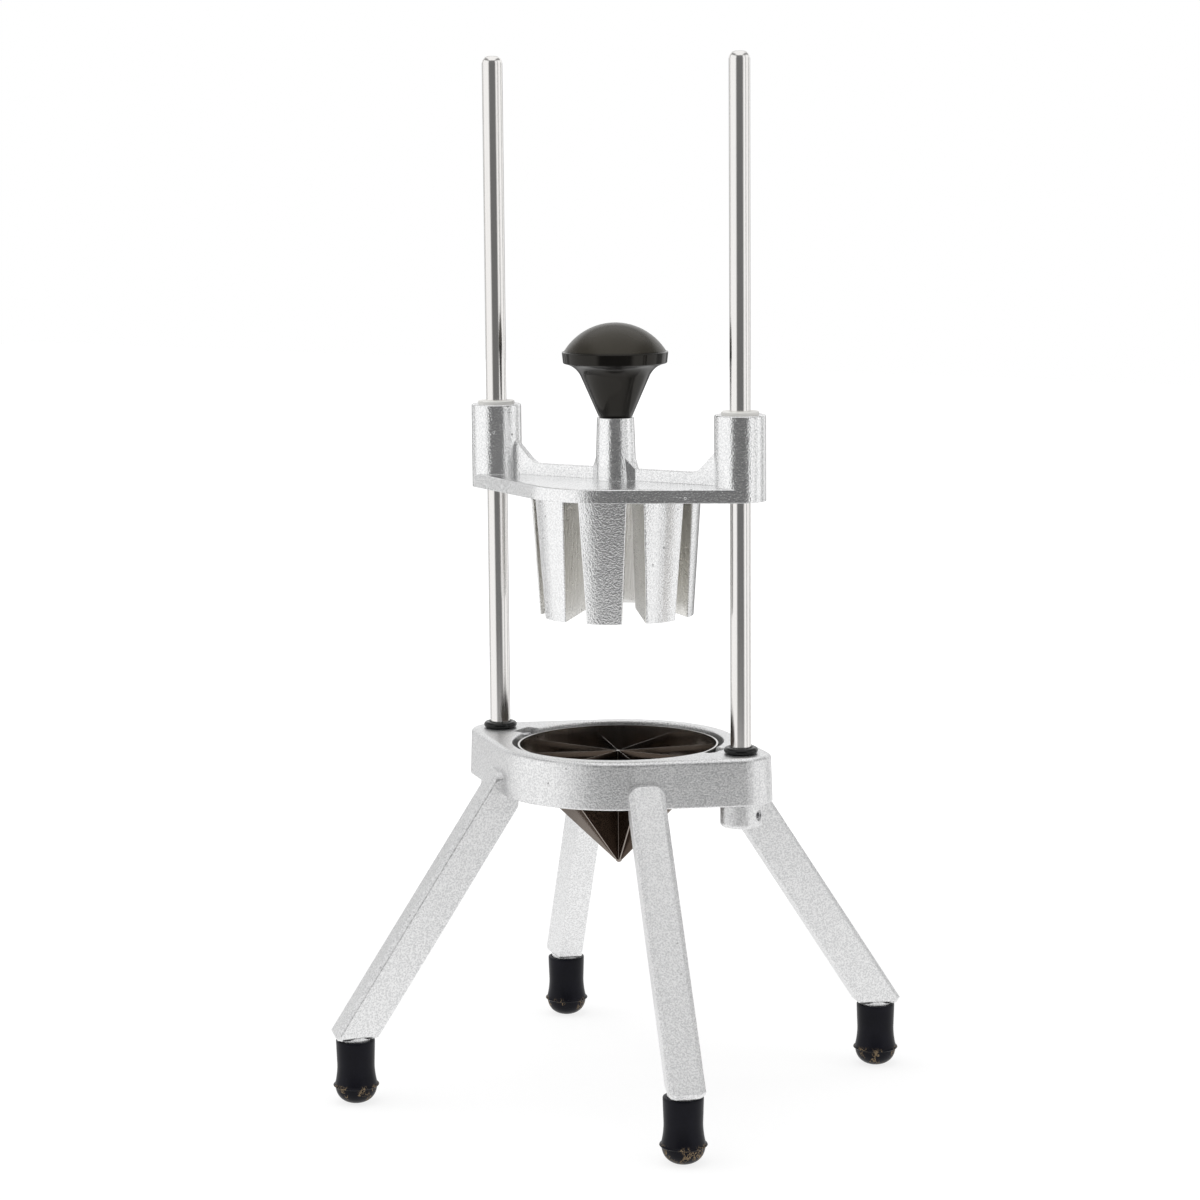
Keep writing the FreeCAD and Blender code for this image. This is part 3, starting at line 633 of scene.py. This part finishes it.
def new_piece(name: str, mesh: bpy.types.Mesh, crease: float = 35.0) -> bpy.types.Object:
    """Links a mesh as a piece, smooth but for its creases.

    Args:
        name: The piece's name.
        mesh: Its mesh, in place.
        crease: The angle in degrees past which an edge stays sharp.

    Returns:
        The piece.
    """
    mesh.shade_smooth()
    mesh.set_sharp_from_angle(angle=math.radians(crease))
    piece = bpy.data.objects.new(name, mesh)
    bpy.context.scene.collection.objects.link(piece)
    return piece


def lathe(name: str, profile: Sequence[Point], segments: int) -> bpy.types.Mesh:
    """A closed turned mesh round Z, facing out.

    Args:
        name: The mesh's name.
        profile: (radius, height) in millimetres from the lower pole, up the outside, to the upper pole.
        segments: How many facets round.

    Returns:
        The mesh.
    """
    vertices: List[Tuple[float, float, float]] = [(0.0, 0.0, profile[0][1] * MM)]
    for radius, height in profile[1:-1]:
        for index in range(segments):
            turn = 2 * math.pi * index / segments
            vertices.append((radius * math.cos(turn) * MM, radius * math.sin(turn) * MM, height * MM))
    vertices.append((0.0, 0.0, profile[-1][1] * MM))
    rings = len(profile) - 2
    faces: List[Tuple[int, ...]] = []
    for index in range(segments):
        after = (index + 1) % segments
        faces.append((0, 1 + after, 1 + index))
        for ring in range(rings - 1):
            low = 1 + ring * segments
            high = low + segments
            faces.append((low + index, low + after, high + after, high + index))
        last = 1 + (rings - 1) * segments
        faces.append((last + index, last + after, len(vertices) - 1))
    mesh = bpy.data.meshes.new(name)
    mesh.from_pydata(vertices, [], faces)
    mesh.validate()
    return mesh


def arc(start: Point, stop: Point, bulge: float, count: int) -> List[Point]:
    """Points after start and up to stop on a shallow arc.

    Args:
        start: First end.
        stop: Last end.
        bulge: How far the arc's middle stands to the right of the way from start to stop.
        count: How many points.

    Returns:
        The points.
    """
    run = Vector((stop[0] - start[0], stop[1] - start[1]))
    side = Vector((run.y, -run.x)).normalized()
    points = []
    for index in range(1, count + 1):
        share = index / count
        lift = bulge * 4 * share * (1 - share)
        points.append((start[0] + run.x * share + side.x * lift, start[1] + run.y * share + side.y * lift))
    return points


@dataclass
class Pattern:
    """A Geometry Nodes tree that repeats one mesh and becomes a plain mesh."""

    name: str
    inputs: Dict[str, Tuple[str, object]]

    def __post_init__(self) -> None:
        """Makes the tree and its named inputs."""
        self.tree = bpy.data.node_groups.new(self.name, "GeometryNodeTree")
        interface = self.tree.interface
        interface.new_socket("Geometry", in_out="INPUT", socket_type="NodeSocketGeometry")
        self.ids: Dict[str, str] = {}
        for label, (kind, _) in {**self.inputs, "Material": ("NodeSocketMaterial", None)}.items():
            socket = interface.new_socket(label, in_out="INPUT", socket_type=kind)
            self.ids[label] = socket.identifier
        interface.new_socket("Geometry", in_out="OUTPUT", socket_type="NodeSocketGeometry")
        self.entry = self.tree.nodes.new("NodeGroupInput")

    def node(
        self, kind: str, settings: Dict[str, object], inputs: Dict[Union[int, str], object]
    ) -> bpy.types.Node:
        """Adds one node.

        Args:
            kind: The node's type.
            settings: Its properties.
            inputs: Values, or sockets to link from.

        Returns:
            The node.
        """
        made = self.tree.nodes.new(kind)
        for name, value in settings.items():
            setattr(made, name, value)
        for key, value in inputs.items():
            if isinstance(value, bpy.types.NodeSocket):
                self.tree.links.new(value, made.inputs[key])
            else:
                made.inputs[key].default_value = value
        return made

    def close(self, points: bpy.types.NodeSocket, turn: bpy.types.NodeSocket) -> None:
        """Puts the source mesh on the points and ends the tree.

        Args:
            points: Where the copies go.
            turn: Each copy's rotation about Z.
        """
        angle = self.node("ShaderNodeCombineXYZ", {}, {"Z": turn})
        copies = self.node(
            "GeometryNodeInstanceOnPoints", {},
            {"Points": points, "Instance": self.entry.outputs["Geometry"], "Rotation": angle.outputs[0]},
        )
        real = self.node("GeometryNodeRealizeInstances", {}, {0: copies.outputs[0]})
        material = self.entry.outputs["Material"]
        skin = self.node("GeometryNodeSetMaterial", {}, {"Geometry": real.outputs[0], "Material": material})
        self.node("NodeGroupOutput", {}, {0: skin.outputs[0]})

    def apply(self, name: str, source: bpy.types.Mesh, finish: Finish, crease: float) -> bpy.types.Object:
        """Runs the tree on a mesh.

        Args:
            name: The finished piece's name.
            source: The mesh that is repeated.
            finish: Its finish.
            crease: See new_piece.

        Returns:
            The piece, a plain mesh with no modifier.
        """
        carrier = bpy.data.objects.new(name + "_source", source)
        bpy.context.scene.collection.objects.link(carrier)
        modifier = carrier.modifiers.new(self.name, "NODES")
        modifier.node_group = self.tree
        for label, (_, value) in self.inputs.items():
            modifier[self.ids[label]] = value
        modifier[self.ids["Material"]] = finish.material()
        graph = bpy.context.evaluated_depsgraph_get()
        graph.update()
        mesh = bpy.data.meshes.new_from_object(carrier.evaluated_get(graph))
        mesh.name = name
        carrier.modifiers.clear()
        bpy.data.objects.remove(carrier)
        return new_piece(name, mesh, crease)


# Sub-assemblies


@dataclass
class BaseFrame:
    """The four legged casting, its rods, and what is fixed to them, all in their CAD shapes."""

    casting: Finish = BASE_SKIN
    rods: Finish = ROD_STEEL
    screws: Finish = SCREW_STEEL
    bumpers: Finish = RING_BLACK

    def build(self) -> None:
        """Dresses the nodes."""
        dress("base_casting", self.casting)
        dress_pair("guide_rod", self.rods)
        dress_pair("rod_set_screw", self.screws)
        dress_pair("bumper_ring", self.bumpers)


@dataclass
class BladeCartridge:
    """The ring of blades. The blades get the ground edge that the plain strips lack. Millimetres."""

    body: str = "frame"
    count: int = 8
    inner: float = 0.92
    outer: float = 45.98
    top_outer: float = 160.9
    top_inner: float = 160.1
    ring_bottom: float = 151.4
    apex: float = 108.2
    apex_half_width: float = 2.0
    half_thickness: float = 0.3
    edge_half_thickness: float = 0.05
    ground_height: float = 2.4
    crease: float = 5.0

    def _blade(self) -> bpy.types.Mesh:
        """One blade along +X, with its top edge ground to a wedge."""
        plain = [
            (self.inner, self.top_inner - self.ground_height),
            (self.inner, self.apex),
            (self.apex_half_width, self.apex),
            (self.outer, self.ring_bottom),
            (self.outer, self.top_outer - self.ground_height),
        ]
        edge = [(self.outer, self.top_outer), (self.inner, self.top_inner)]
        vertices = []
        for sign in (-1, 1):
            vertices += [(x * MM, sign * self.half_thickness * MM, z * MM) for x, z in plain]
            vertices += [(x * MM, sign * self.edge_half_thickness * MM, z * MM) for x, z in edge]
        total = len(plain) + len(edge)
        front = list(range(len(plain)))
        bevel = [len(plain) - 1, len(plain), len(plain) + 1, 0]
        faces = [tuple(front), tuple(bevel)]
        faces += [tuple(total + index for index in reversed(face)) for face in (front, bevel)]
        for index in range(total):
            after = (index + 1) % total
            faces.append((after, index, total + index, total + after))
        mesh = bpy.data.meshes.new("blade")
        mesh.from_pydata(vertices, [], faces)
        mesh.validate()
        return mesh

    def build(self) -> None:
        """Makes the fan of blades and dresses the ring, its screws and the weld."""
        fan = Pattern("blade_fan", {
            "Blade count": ("NodeSocketInt", self.count),
            "Blade step": ("NodeSocketFloat", 2 * math.pi / self.count),
        })
        points = fan.node("GeometryNodePoints", {}, {"Count": fan.entry.outputs["Blade count"]})
        index = fan.node("GeometryNodeInputIndex", {}, {})
        step = fan.entry.outputs["Blade step"]
        turn = fan.node("ShaderNodeMath", {"operation": "MULTIPLY"}, {0: index.outputs[0], 1: step})
        fan.close(points.outputs[0], turn.outputs[0])
        blades = fan.apply("wedge_blades", self._blade(), BLADE_STEEL_PAINTED_DARK, self.crease)
        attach(blades, self.body)
        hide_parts(*[f"blade_{number}" for number in range(1, self.count + 1)])
        LOG.info("made %s", blades.name)
        dress("blade_ring", BAND_STEEL)
        # The weld shares the blades' painted dark reflection colour.
        dress("blade_centre_weld", BLADE_STEEL_PAINTED_DARK)
        dress_pair("blade_ring_screw", SCREW_STEEL)


@dataclass
class RubberFeet:
    """The four ferrules, with softened lip and rim. Millimetres, and the turn in radians.

    The curve of the lip is given as steps out and up from its radius and height.
    """

    body: str = "frame"
    place_x: float = 88.9
    place_y: float = 90.0
    height: float = 30.0
    collar: float = 9.05
    waist: float = 8.70
    waist_height: float = 18.0
    shoulder: float = 9.75
    shoulder_drop: float = 0.6
    lip: float = 10.65
    lip_height: float = 8.2
    lip_thickness: float = 0.9
    lip_curve: Tuple[Point, ...] = ((-0.25, -0.18), (0.0, 0.1), (-0.15, 0.45))
    lip_root: float = 0.1
    flat: float = 3.0
    dome_bulge: float = 1.8
    waist_bulge: float = -0.28
    bore: float = 7.22
    bore_bottom: float = 9.98
    collar_depth: float = 1.5
    rim_rounding: float = 0.45
    rim_chamfer: float = 0.135
    turn: float = 1.3
    segments: int = 72
    crease: float = 40.0

    def _profile(self) -> List[Point]:
        """The outline from the middle of the underside to the middle of the bore's floor."""
        lip_top = self.lip_height + self.lip_thickness
        rim = self.height
        soft = self.rim_rounding
        lip_root = (self.shoulder + self.lip_root, lip_top)
        waist = (self.waist, self.waist_height)
        points: List[Point] = [(0.0, 0.0), (self.flat, 0.0)]
        shoulder = (self.shoulder, self.lip_height - self.shoulder_drop)
        points += arc(points[-1], shoulder, self.dome_bulge, 12)
        points += [(self.lip + out, self.lip_height + up) for out, up in self.lip_curve]
        points.append(lip_root)
        points += arc(lip_root, waist, self.waist_bulge, 8)
        points += arc(waist, (self.collar, rim - self.collar_depth), 0.0, 4)
        points += [(self.collar, rim - soft), (self.collar - self.rim_chamfer, rim - self.rim_chamfer)]
        points += [(self.collar - soft, rim), (self.bore + soft, rim), (self.bore, rim - soft)]
        points += [(self.bore, self.bore_bottom), (0.0, self.bore_bottom)]
        return points

    def build(self) -> None:
        """Makes one ferrule and sets it under the four legs."""
        grid = Pattern("foot_places", {
            "Spread x": ("NodeSocketFloat", 2 * self.place_x * MM),
            "Spread y": ("NodeSocketFloat", 2 * self.place_y * MM),
            "Foot turn": ("NodeSocketFloat", self.turn),
        })
        corners = grid.node("GeometryNodeMeshGrid", {}, {
            "Size X": grid.entry.outputs["Spread x"], "Size Y": grid.entry.outputs["Spread y"],
            "Vertices X": 2, "Vertices Y": 2,
        })
        index = grid.node("GeometryNodeInputIndex", {}, {})
        step = grid.entry.outputs["Foot turn"]
        turn = grid.node("ShaderNodeMath", {"operation": "MULTIPLY"}, {0: index.outputs[0], 1: step})
        grid.close(corners.outputs[0], turn.outputs[0])
        foot = lathe("foot", self._profile(), self.segments)
        feet = grid.apply("rubber_feet", foot, FOOT_BLACK, self.crease)
        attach(feet, self.body)
        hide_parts(*[f"foot_{corner.value}" for corner in Corner])
        LOG.info("made %s", feet.name)


@dataclass
class Pusher:
    """The fingered casting and its bushes, all in their CAD shapes."""

    casting: Finish = PUSHER_SKIN
    bushes: Finish = NYLON

    def build(self) -> None:
        """Dresses the nodes."""
        dress("pusher_casting", self.casting)
        dress_pair("upper_bush", self.bushes)
        dress_pair("lower_bush", self.bushes)


@dataclass
class PalmKnob:
    """The turned knob, with the thin ledge round its dome. Millimetres.

    The curve of the rim is given as steps out and up from the top of its widest ring.
    """

    body: str = "pusher"
    bottom: float = 316.35
    neck: float = 7.7
    cone: float = 16.1
    cone_height: float = 19.5
    flare_height: float = 25.0
    rim: float = 24.5
    rim_taper: float = 0.5
    rim_height: float = 5.3
    rim_curve: Tuple[Point, ...] = ((0.0, -0.35), (-0.12, -0.1), (-0.4, 0.0))
    flare_bulge: float = -1.1
    edge_rounding: float = 0.3
    ledge: float = 0.9
    ledge_rise: float = 0.05
    dome_steps: int = 24
    height: float = 43.6
    hole: float = 5.52
    hole_depth: float = 17.02
    segments: int = 160
    crease: float = 22.0

    def _profile(self) -> List[Point]:
        """The outline from the top of the insert's hole, down it and up the outside."""
        soft = self.edge_rounding
        rim_foot = self.rim - self.rim_taper
        rim_top = self.flare_height + self.rim_height
        cone_top = (self.cone, self.cone_height)
        dome_start = (self.rim - self.ledge, rim_top + self.ledge_rise)
        rise = self.height - dome_start[1]
        radius = (dome_start[0] ** 2 + rise ** 2) / (2 * rise)
        points: List[Point] = [(0.0, self.hole_depth), (self.hole, self.hole_depth), (self.hole, 0.0)]
        points += [(self.neck - soft, 0.0), (self.neck, soft)]
        points += arc(points[-1], cone_top, 0.0, 6)
        points += arc(cone_top, (rim_foot - soft, self.flare_height), self.flare_bulge, 8)
        points.append((rim_foot, self.flare_height + soft))
        points += [(self.rim + out, rim_top + up) for out, up in self.rim_curve]
        points.append(dome_start)
        start_angle = math.asin(dome_start[0] / radius)
        for index in range(1, self.dome_steps):
            angle = start_angle * (1 - index / self.dome_steps)
            points.append((radius * math.sin(angle), self.height - radius + radius * math.cos(angle)))
        points.append((0.0, self.height))
        return [(out, up + self.bottom) for out, up in points]

    def build(self) -> None:
        """Makes the knob and dresses what screws it down."""
        knob = new_piece("palm_knob", lathe("palm_knob", self._profile(), self.segments), self.crease)
        knob.data.materials.append(KNOB_BLACK.material())
        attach(knob, self.body)
        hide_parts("knob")
        LOG.info("made %s", knob.name)
        dress("knob_insert", BRASS)
        dress("knob_stud", SCREW_STEEL)


# Studio


@dataclass(frozen=True)
class Gap:
    """A dark gap in the white room, in level degrees from the photographer's side of the press."""

    start: float
    stop: float
    soft: float
    depth: float
    side: int = 0
    side_fade: Range = (-0.05, 0.05)

    def shade(self, facing: Signal, across: Signal) -> Signal:
        """How much light the gap takes away.

        Args:
            facing: Cosine of the level angle from the photographer's side.
            across: Sine of that angle, above 0 on the right.

        Returns:
            0 outside the gap, and its depth inside.
        """
        edges: List[Signal] = []
        if self.start > 0:
            edges.append(self._past(facing, self.start, 1))
        if self.stop < 180:
            edges.append(self._past(facing, self.stop, -1))
        if self.side:
            edges.append((across * self.side).step(*self.side_fade))
        shade: Value = self.depth
        for edge in edges:
            shade = shade * edge
        return shade

    def _past(self, facing: Signal, edge: float, way: int) -> Signal:
        """1 past one edge of the gap, on the side that way gives: 1 is away from the photographer."""
        clear = math.cos(math.radians(edge - way * self.soft))
        dark = math.cos(math.radians(edge + way * self.soft))
        return facing.step(clear, dark)


@dataclass(frozen=True)
class Softbox:
    """A square lamp aimed at the press. Metres and watts."""

    name: str
    place: Triple
    size: float
    power: float


@dataclass
class Studio:
    """White sweep, soft lamps and the camera. Lengths are metres and angles radians.

    Rises are the heights of a direction one unit long, and widths its reach to the side.
    """

    azimuth: float = 0.5618
    distance: float = 1.5112168
    camera_height: float = 0.4495626
    pitch: float = 0.1435
    roll: float = -0.0084
    yaw: float = 0.0052
    lens: float = 98.52
    sensor: float = 36.0
    floor_size: float = 8.0
    ambient: float = 0.62
    gaps: Tuple[Gap, ...] = (
        Gap(0.0, 38.0, 7.0, 0.84),
        Gap(65.2, 73.8, 1.3, 0.60, side=1),
        Gap(104.0, 126.0, 2.6, 0.60, side=1),
        Gap(121.0, 135.0, 2.8, 0.60, side=-1),
    )
    back: Gap = Gap(150.0, 180.0, 7.0, 0.80)
    back_rise: Range = (0.09, 0.02)
    walls_end: Range = (0.46, 0.58)
    ceiling: float = 0.30
    box_rise: Range = (0.55, 0.70)
    box_width: Range = (0.65, 0.45)
    gap_reach: Range = (0.20, 1.20)
    shadow_reach: Range = (0.26, 0.60)
    shadow_glow: float = 0.80
    floor_shown: float = 0.24
    floor_plain: float = 0.85
    lamps: Tuple[Softbox, ...] = (
        Softbox("top softbox", (-0.25, -0.15, 1.9), 1.4, 13.0),
        Softbox("left softbox", (-1.6, -0.9, 1.0), 1.0, 5.0),
        Softbox("right softbox", (1.7, 0.5, 0.9), 1.0, 4.0),
    )
    lamp_aim: Triple = (0.0, 0.0, 0.22)
    clip: Range = (0.05, 50.0)

    def _toward_camera(self) -> Vector:
        """The level direction from the press to the camera."""
        return Vector((math.sin(self.azimuth), -math.cos(self.azimuth), 0.0))

    def _rightward(self) -> Vector:
        """The level direction to the photographer's right."""
        return Vector((math.cos(self.azimuth), math.sin(self.azimuth), 0.0))

    def _walls(self, shader: Shader, direction: Signal, low: Value) -> Signal:
        """How bright the room's walls look in a reflection.

        Args:
            shader: The tree to add nodes to.
            direction: A direction or a place, from the press.
            low: 1 where the dark skirting behind the press shows.

        Returns:
            1 for white, less in the open front and in the gaps between the screens.
        """
        level = shader.level(direction)
        facing = shader.vector("DOT_PRODUCT", level, tuple(self._toward_camera()), 1)
        across = shader.vector("DOT_PRODUCT", level, tuple(self._rightward()), 1)
        bright = 1 - self.back.shade(facing, across) * low
        for gap in self.gaps:
            bright = bright - gap.shade(facing, across)
        return bright

    def _world(self) -> None:
        """White to the camera, the room in reflections, and a plain level for the rest."""
        world = bpy.data.worlds.new("sweep")
        world.use_nodes = True
        bpy.context.scene.world = world
        shader = Shader(world.node_tree)
        direction = shader.node("ShaderNodeTexCoord", output="Generated")
        path = shader.node("ShaderNodeLightPath", output="Is Camera Ray")
        outputs = path.socket.node.outputs
        glossy = Signal(shader, outputs["Is Glossy Ray"])
        through = Signal(shader, outputs["Is Transmission Ray"])
        _, _, rise = shader.split(direction)
        above = rise.step(*self.walls_end)
        walls = self._walls(shader, direction, rise.step(*self.back_rise))
        room = walls * (1 - above) + above * self.ceiling
        across = abs(shader.vector("DOT_PRODUCT", direction, tuple(self._rightward()), 1))
        box = rise.step(*self.box_rise) * across.step(*self.box_width)
        room = room + (1 - room) * box
        shown = path.top(through)
        plain = (1 - shown.top(glossy)) * self.ambient
        strength = shown + glossy * room * (1 - shown) + plain
        light = shader.node("ShaderNodeBackground", {}, {"Color": WHITE, "Strength": strength})
        shader.node("ShaderNodeOutputWorld", {}, {"Surface": light})

    def _floor(self) -> None:
        """A pale floor that is white to the camera and keeps the contact shadows."""
        half = self.floor_size / 2
        corners = [(-half, -half, 0.0), (half, -half, 0.0), (half, half, 0.0), (-half, half, 0.0)]
        mesh = bpy.data.meshes.new("floor")
        mesh.from_pydata(corners, [], [(0, 1, 2, 3)])
        floor = bpy.data.objects.new("floor", mesh)
        bpy.context.scene.collection.objects.link(floor)
        made = bpy.data.materials.new("pale floor")
        made.use_nodes = True
        shader = Shader(made.node_tree)
        place = shader.place()
        path = shader.node("ShaderNodeLightPath", output="Is Camera Ray")
        outputs = path.socket.node.outputs
        glossy = Signal(shader, outputs["Is Glossy Ray"])
        shown = path.top(Signal(shader, outputs["Is Transmission Ray"]))
        reach = shader.vector("LENGTH", place, ORIGIN, 1)
        glow = reach.step(*self.shadow_reach) * (1 - self.shadow_glow) + self.shadow_glow
        mirrored = 1 - reach.step(*self.gap_reach) * (1 - self._walls(shader, place, 1.0))
        painted = shader.node("ShaderNodeBsdfDiffuse", {}, {"Color": (*[self.floor_shown] * 3, 1.0)})
        lit = shader.node("ShaderNodeEmission", {}, {"Color": WHITE, "Strength": glow})
        seen = shader.node("ShaderNodeAddShader", {}, {0: painted, 1: lit})
        plain = shader.node("ShaderNodeBsdfDiffuse", {}, {"Color": (*[self.floor_plain] * 3, 1.0)})
        room = shader.node("ShaderNodeEmission", {}, {"Color": WHITE, "Strength": mirrored})
        unseen = shader.node("ShaderNodeMixShader", {}, {0: glossy, 1: plain, 2: room})
        both = shader.node("ShaderNodeMixShader", {}, {0: shown, 1: unseen, 2: seen})
        shader.node("ShaderNodeOutputMaterial", {}, {"Surface": both})
        mesh.materials.append(made)

    def _lamp(self, box: Softbox) -> None:
        """Sets up one softbox, out of sight of reflections."""
        lamp = bpy.data.lights.new(box.name, "AREA")
        lamp.size = box.size
        lamp.energy = box.power
        holder = bpy.data.objects.new(box.name, lamp)
        holder.location = box.place
        aim = Vector(self.lamp_aim) - Vector(box.place)
        holder.rotation_euler = aim.to_track_quat("-Z", "Y").to_euler()
        holder.visible_glossy = False
        bpy.context.scene.collection.objects.link(holder)

    def _camera(self) -> None:
        """The camera at the photograph's angle."""
        camera = bpy.data.cameras.new("camera")
        camera.lens = self.lens
        camera.sensor_width = self.sensor
        camera.clip_start, camera.clip_end = self.clip
        holder = bpy.data.objects.new("camera", camera)
        bpy.context.scene.collection.objects.link(holder)
        bpy.context.scene.camera = holder
        turn = self.azimuth + self.yaw
        level = math.cos(self.pitch)
        ahead = Vector((-math.sin(turn) * level, math.cos(turn) * level, -math.sin(self.pitch)))
        right = Vector((math.cos(turn), math.sin(turn), 0.0))
        up = right.cross(ahead)
        rolled_right = right * math.cos(self.roll) + up * math.sin(self.roll)
        rolled_up = up * math.cos(self.roll) - right * math.sin(self.roll)
        matrix = Matrix((rolled_right, rolled_up, -ahead)).transposed().to_4x4()
        matrix.translation = self._toward_camera() * self.distance + Vector((0, 0, self.camera_height))
        holder.matrix_world = matrix

    def build(self) -> None:
        """Sets up floor, world, lamps and camera."""
        scene = bpy.context.scene
        scene.view_settings.view_transform = "Standard"
        self._world()
        self._floor()
        for box in self.lamps:
            self._lamp(box)
        self._camera()
        LOG.info("set up the studio")


def main() -> None:
    """Builds each sub-assembly in order."""
    logging.basicConfig(level=logging.INFO, format="%(name)s: %(message)s")
    for assembly in (Studio(), BaseFrame(), BladeCartridge(), RubberFeet(), Pusher(), PalmKnob()):
        assembly.build()
    bpy.context.view_layer.update()


if __name__ == "__main__":
    main()
